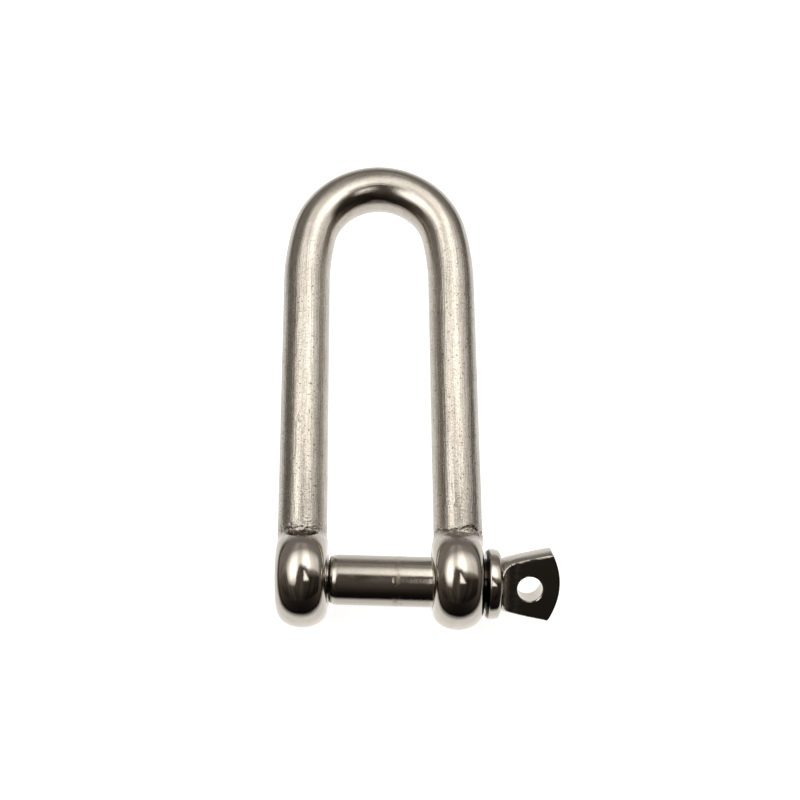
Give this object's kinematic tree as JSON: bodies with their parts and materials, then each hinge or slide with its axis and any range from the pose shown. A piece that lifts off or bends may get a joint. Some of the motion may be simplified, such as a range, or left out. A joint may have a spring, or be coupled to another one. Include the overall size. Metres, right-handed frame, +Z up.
{
  "type": "dee shackle",
  "caption": "Long dee shackle: a round steel bar bent into a D with an ear on each end, closed by a collared screw pin with a flat fan-shaped head and an eye.",
  "frame": {"origin": "under the middle of the whole shackle's bounding box, on the surface it lies on", "axes": "+Z up, square to the plane of the D; +Y from the pin to the crown; +X along the pin towards its head, which the pin's axis leaves by 1.8 degrees towards -Y"},
  "size_m": [0.0536, 0.0978, 0.0181],
  "materials": {
    "satin_stainless": "tumbled satin",
    "polished_stainless": "bright polished"
  },
  "bodies": {
    "bow": {"bow": "satin_stainless"},
    "pin": {"screw_pin": "polished_stainless"}
  },
  "joints": [
    {"name": "pin_withdraw", "type": "slide", "parent": "bow", "child": "pin", "axis": [0.9995, -0.0314, 0], "range_m": [0, 0.045]}
  ]
}
